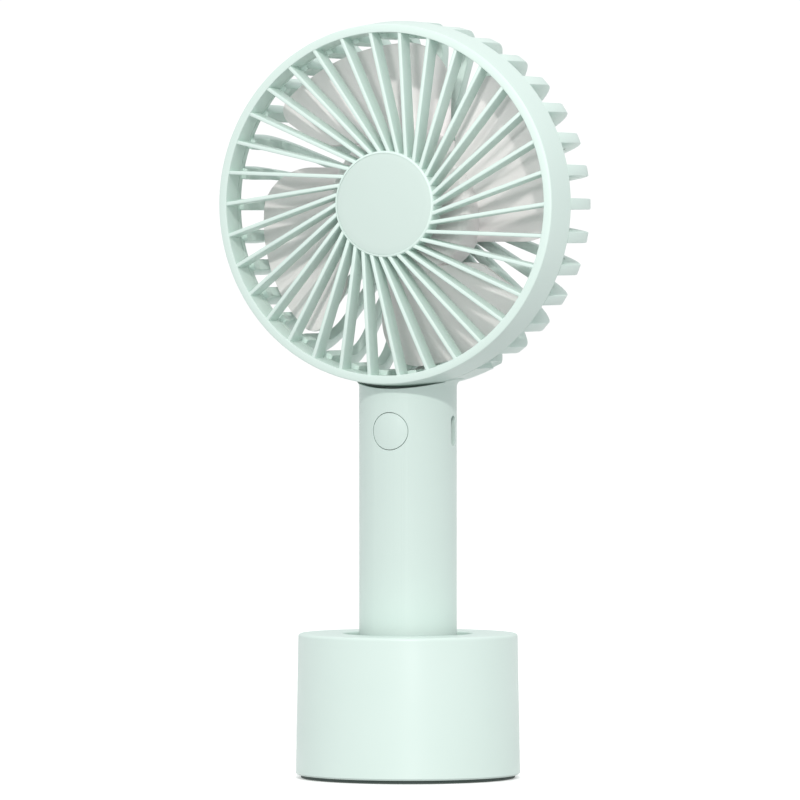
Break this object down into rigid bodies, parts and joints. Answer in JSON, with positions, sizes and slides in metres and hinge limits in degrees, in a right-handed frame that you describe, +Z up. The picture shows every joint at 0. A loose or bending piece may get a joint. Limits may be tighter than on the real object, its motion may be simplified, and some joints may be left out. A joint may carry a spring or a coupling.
{
  "type": "handheld electric fan",
  "caption": "Round-headed handheld fan with a swirled spoke grille, finned rear cage, slim cylindrical handle with a push button, standing in a weighted cylindrical desk dock.",
  "frame": {"origin": "middle of the dock's underside, where the fan stands on a table", "axes": "+Z up along the handle, -Y the way the fan blows, +X the side with the charging slot"},
  "size_m": [0.105, 0.0644, 0.2172],
  "materials": {
    "mint_abs": "fine satin moulded ABS, pale mint",
    "mint_abs_inner": "satin moulded ABS, pale mint",
    "grey_pp": "satin moulded polypropylene, light grey",
    "white_abs": "satin moulded ABS, white",
    "foot_rubber": "matt silicone rubber, grey green",
    "zinc_steel": "zinc plated steel",
    "dark_steel": "laminated motor steel",
    "ferrite": "bonded ferrite magnet",
    "copper_wire": "enamelled copper wire",
    "bearing_brass": "turned brass",
    "cell_wrap": "cell can in a shrunk PVC sleeve",
    "board_laminate": "glass epoxy laminate with solder mask",
    "black_nylon": "black moulded nylon",
    "wire_sleeve": "silicone wire sleeve"
  },
  "bodies": {
    "dock": {"foot_pad": "foot_rubber", "base_plate": "mint_abs_inner", "base_screws": "zinc_steel", "ballast_weight": "zinc_steel", "base_shell": "mint_abs", "socket_liner": "mint_abs_inner"},
    "fan": {"handle_shell": "mint_abs", "bottom_cap": "mint_abs", "cap_screws": "zinc_steel", "inner_frame": "white_abs", "battery_cell": "cell_wrap", "battery_tabs": "zinc_steel", "battery_leads": "wire_sleeve", "circuit_board": "board_laminate", "board_parts": "black_nylon", "board_screws": "zinc_steel", "switch_body": "black_nylon", "charge_socket": "zinc_steel", "socket_tongue": "black_nylon", "rear_grille": "mint_abs", "motor_mount": "bearing_brass", "motor_screws": "zinc_steel", "ball_bearings": "zinc_steel", "stator_core": "dark_steel", "stator_insulator": "white_abs", "stator_windings": "copper_wire", "motor_board": "board_laminate", "motor_leads": "wire_sleeve"},
    "rotor": {"impeller": "grey_pp", "rotor_yoke": "zinc_steel", "magnet_ring": "ferrite", "motor_shaft": "zinc_steel", "shaft_clip": "zinc_steel"},
    "front_cover": {"front_grille": "mint_abs", "grille_badge": "mint_abs"},
    "button": {"button_cap": "mint_abs", "switch_plunger": "white_abs"}
  },
  "joints": [
    {"name": "handle_lift", "type": "slide", "parent": "dock", "child": "fan", "axis": [0, 0, 1], "range_m": [0, 0.033]},
    {"name": "impeller_spin", "type": "hinge", "parent": "fan", "child": "rotor", "pos_m": [0, 0, 0.1647], "axis": [0, 1, 0], "continuous": true},
    {"name": "grille_twist", "type": "hinge", "parent": "fan", "child": "front_cover", "pos_m": [0, 0, 0.1647], "axis": [0, -1, 0], "range_deg": [0, 12]},
    {"name": "button_press", "type": "slide", "parent": "fan", "child": "button", "axis": [0, 1, 0], "range_m": [0, 0.0003], "stiffness_N_per_m": 1500, "springref_m": -0.0004}
  ]
}
